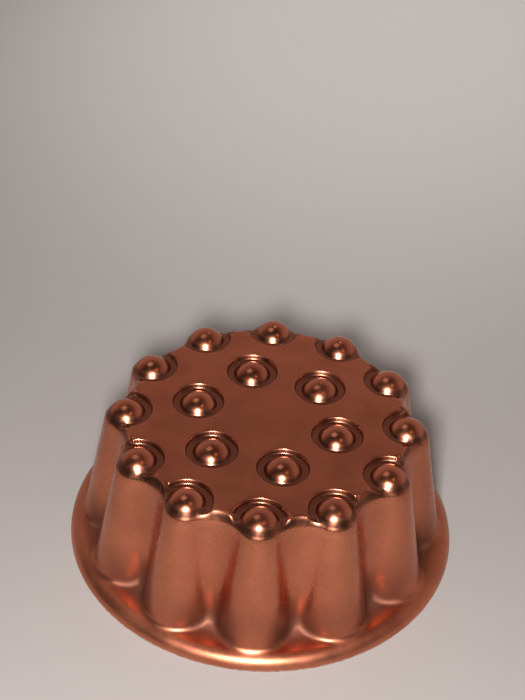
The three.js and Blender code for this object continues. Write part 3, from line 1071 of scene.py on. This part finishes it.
def mix(tree, share, first, second):
    """Mixes two colours by a share, each of the three a socket or a value."""
    mixed = node(tree, "ShaderNodeMix", data_type="RGBA")
    sockets = (mixed.inputs["Factor"], mixed.inputs[6], mixed.inputs[7])
    for target, source in zip(sockets, (share, first, second)):
        if isinstance(source, bpy.types.NodeSocket):
            wire(tree, (source, target))
        elif isinstance(source, tuple):
            target.default_value = (*source, 1)
        else:
            target.default_value = source
    return mixed.outputs[2]


def math_node(tree, operation, first, second):
    """Joins two values with one operation."""
    joined = node(tree, "ShaderNodeMath", operation=operation)
    wire(tree, (first, joined.inputs[0]), (second, joined.inputs[1]))
    return joined.outputs[0]


def times(tree, first, second):
    """Multiplies two values."""
    return math_node(tree, "MULTIPLY", first, second)


# %% [markdown]
# ## Painted shade, painted highlight and wear on the sheet
#
# The sunk seats, and the wall's feet between the lobes with the flange there, are
# painted darker as shade, and the feet and that flange are made duller too. The knobs
# are rubbed smoothest. The flange, where hands hold the mold, has gone satin, and the
# rim's lowest edge carries a painted highlight, broken into patches. Each place is
# found by its height and by its distance from the mold's axis.

# %% Painted shade, painted highlight and wear
# painted colours: shade for the hollows, and a highlight along the rim's lowest edge
PAINTED_SHADE = (0.22, 0.09, 0.06)
EDGE_HIGHLIGHT = (0.80, 0.62, 0.52)
EDGE_HEIGHTS = (0.4 * MM, 1.7 * MM)  # where each painted mark and each kind of wear begins and ends
FOOT_HEIGHTS = ((ROLL + 2) * MM, (ROLL + 27) * MM)
SEAT_BOTTOM = ((FLOOR - 1.8) * MM, (FLOOR - 0.1) * MM)
SEAT_TOP = ((FLOOR + 1.0) * MM, (PLATEAU - 0.1) * MM)
KNOB_HEIGHTS = ((PLATEAU - 0.2) * MM, (PLATEAU + 1.5) * MM)
FOOT_REACH = ((RIM - 14) * MM, (RIM - 5.5) * MM)  # and distances from the axis
HANDLED_REACH = ((RIM - 11) * MM, (RIM - 5) * MM)


def shade_and_wear_places(tree, place):
    """The height, the distance from the axis, and a mask of the wall's feet and the flange between the
    lobes, where shade is painted and the metal is duller.
    """
    axes = node(tree, "ShaderNodeSeparateXYZ")
    plan = node(tree, "ShaderNodeVectorMath", operation="MULTIPLY")
    plan.inputs[1].default_value = (1, 1, 0)
    span = node(tree, "ShaderNodeVectorMath", operation="LENGTH")
    wire(tree, (place, axes.inputs[0]), (place, plan.inputs[0]), (plan.outputs[0], span.inputs[0]))
    height, reach = axes.outputs["Z"], span.outputs["Value"]
    inner = remap(tree, reach, *FOOT_REACH, 0.95, 0.0)
    low = remap(tree, height, *FOOT_HEIGHTS, 1.0, 0.0)
    return height, reach, times(tree, inner, low)


def tone_with_painted_light(tree, place, height, foot_shade_and_dullness_mask, tone):
    """The sheet's tone, with painted shade in its hollows and a painted highlight along the rim's lowest
    edge.
    """
    # painted shade at the wall's feet and on the flange between the lobes
    tone = mix(tree, foot_shade_and_dullness_mask, tone, PAINTED_SHADE)
    # painted shade over the seats' height, from their floor to the plateau
    rising = remap(tree, height, *SEAT_BOTTOM, 0.0, 0.75)
    falling = remap(tree, height, *SEAT_TOP, 1.0, 0.0)
    tone = mix(tree, times(tree, rising, falling), tone, PAINTED_SHADE)
    # painted highlight along the rim's lowest edge, broken into patches by noise
    low = remap(tree, height, *EDGE_HEIGHTS, 1.0, 0.0)
    highlight_patches = remap(tree, noise(tree, place, (420, 420, 420), 5.0), 0.38, 0.60, 0.15, 0.8)
    return mix(tree, times(tree, low, highlight_patches), tone, EDGE_HIGHLIGHT)


def worn_dullness(tree, height, reach, foot_shade_and_dullness_mask, dullness):
    """The sheet's roughness: knobs smoother, hollows and flange duller."""
    changes = [
        remap(tree, height, *KNOB_HEIGHTS, 0.0, -0.06),
        remap(tree, foot_shade_and_dullness_mask, 0.0, 1.0, 0.0, 0.30),
        remap(tree, reach, *HANDLED_REACH, 0.0, 0.12),
    ]
    for change in changes:
        dullness = math_node(tree, "ADD", dullness, change)
    return dullness


# %% [markdown]
# ## The copper-toned metal
#
# All four pieces have the same kind of satin, copper-coloured finish. The tone drifts
# in large soft patches, and fine lines run up the walls, in the tone and as a very
# shallow bump. Each piece has its own tone and gloss, and only the sheet has the wear,
# the painted shade in its hollows and the painted highlight on its rim's edge.


# %% Metal finish
def finish_metal(material, colour, deep, gloss, shade_and_wear=False):
    """A satin copper-toned finish. colour is the tone, deep its darker patches, and
    gloss the roughness from the smoothest place to the dullest."""
    material.use_nodes = True
    tree = material.node_tree
    tree.nodes.clear()
    output = node(tree, "ShaderNodeOutputMaterial")
    metal = node(tree, "ShaderNodeBsdfPrincipled", Metallic=1.0)
    place = node(tree, "ShaderNodeTexCoord").outputs["Object"]

    patches = noise(tree, place, (38, 38, 26), 4.0)
    lines = noise(tree, place, (900, 900, 60), 4.0, 0.65)
    tone = mix(tree, remap(tree, patches, 0.35, 0.68, 0.0, 1.0), colour, deep)
    tone = mix(tree, remap(tree, lines, 0.50, 0.72, 0.0, 0.22), tone, deep)
    wide = remap(tree, noise(tree, place, (90, 90, 55), 5.0), 0.30, 0.70, *gloss)
    fine = remap(tree, lines, 0.35, 0.70, 0.0, 0.05)
    dullness = math_node(tree, "ADD", wide, fine)
    # the sheet alone gets painted shade, a painted highlight and wear in its roughness
    if shade_and_wear:
        height, reach, foot_shade_and_dullness_mask = shade_and_wear_places(tree, place)
        tone = tone_with_painted_light(tree, place, height, foot_shade_and_dullness_mask, tone)
        dullness = worn_dullness(tree, height, reach, foot_shade_and_dullness_mask, dullness)

    bump = node(tree, "ShaderNodeBump", Strength=0.35, Distance=0.00004)
    wire(
        tree,
        (tone, metal.inputs["Base Color"]),
        (dullness, metal.inputs["Roughness"]),
        (lines, bump.inputs["Height"]),
        (bump.outputs[0], metal.inputs["Normal"]),
        (metal.outputs[0], output.inputs["Surface"]),
    )
    print(material.name, "finish:", len(tree.nodes), "nodes")


finish_metal(METALS["sheet"], (0.61, 0.21, 0.115), (0.51, 0.168, 0.094), (0.22, 0.31), True)
finish_metal(METALS["hanger"], (0.84, 0.42, 0.24), (0.68, 0.30, 0.17), (0.18, 0.28))
finish_metal(METALS["rivet"], (0.86, 0.50, 0.28), (0.70, 0.36, 0.20), (0.16, 0.26))
finish_metal(METALS["wire"], (0.80, 0.40, 0.22), (0.62, 0.28, 0.15), (0.14, 0.26))

# %% [markdown]
# ## The floor's finish
#
# A plain matt floor. Its own tone is a mid grey, slightly warm, because the key lamp
# that puts the spots on the knobs is strong enough to make it look pale.

# %% Floor finish
cloth = bpy.data.materials.new("pale floor")
cloth.use_nodes = True
cloth_tree = cloth.node_tree
cloth_tree.nodes.clear()
cloth_out = node(cloth_tree, "ShaderNodeOutputMaterial")
cloth_paint = node(cloth_tree, "ShaderNodeBsdfPrincipled", Roughness=0.9)
cloth_paint.inputs["Base Color"].default_value = (0.39, 0.372, 0.36, 1)
wire(cloth_tree, (cloth_paint.outputs[0], cloth_out.inputs["Surface"]))
floor.data.materials.append(cloth)
print(floor.name, "finish:", len(cloth_tree.nodes), "nodes")

# %% Update the scene
bpy.context.view_layer.update()
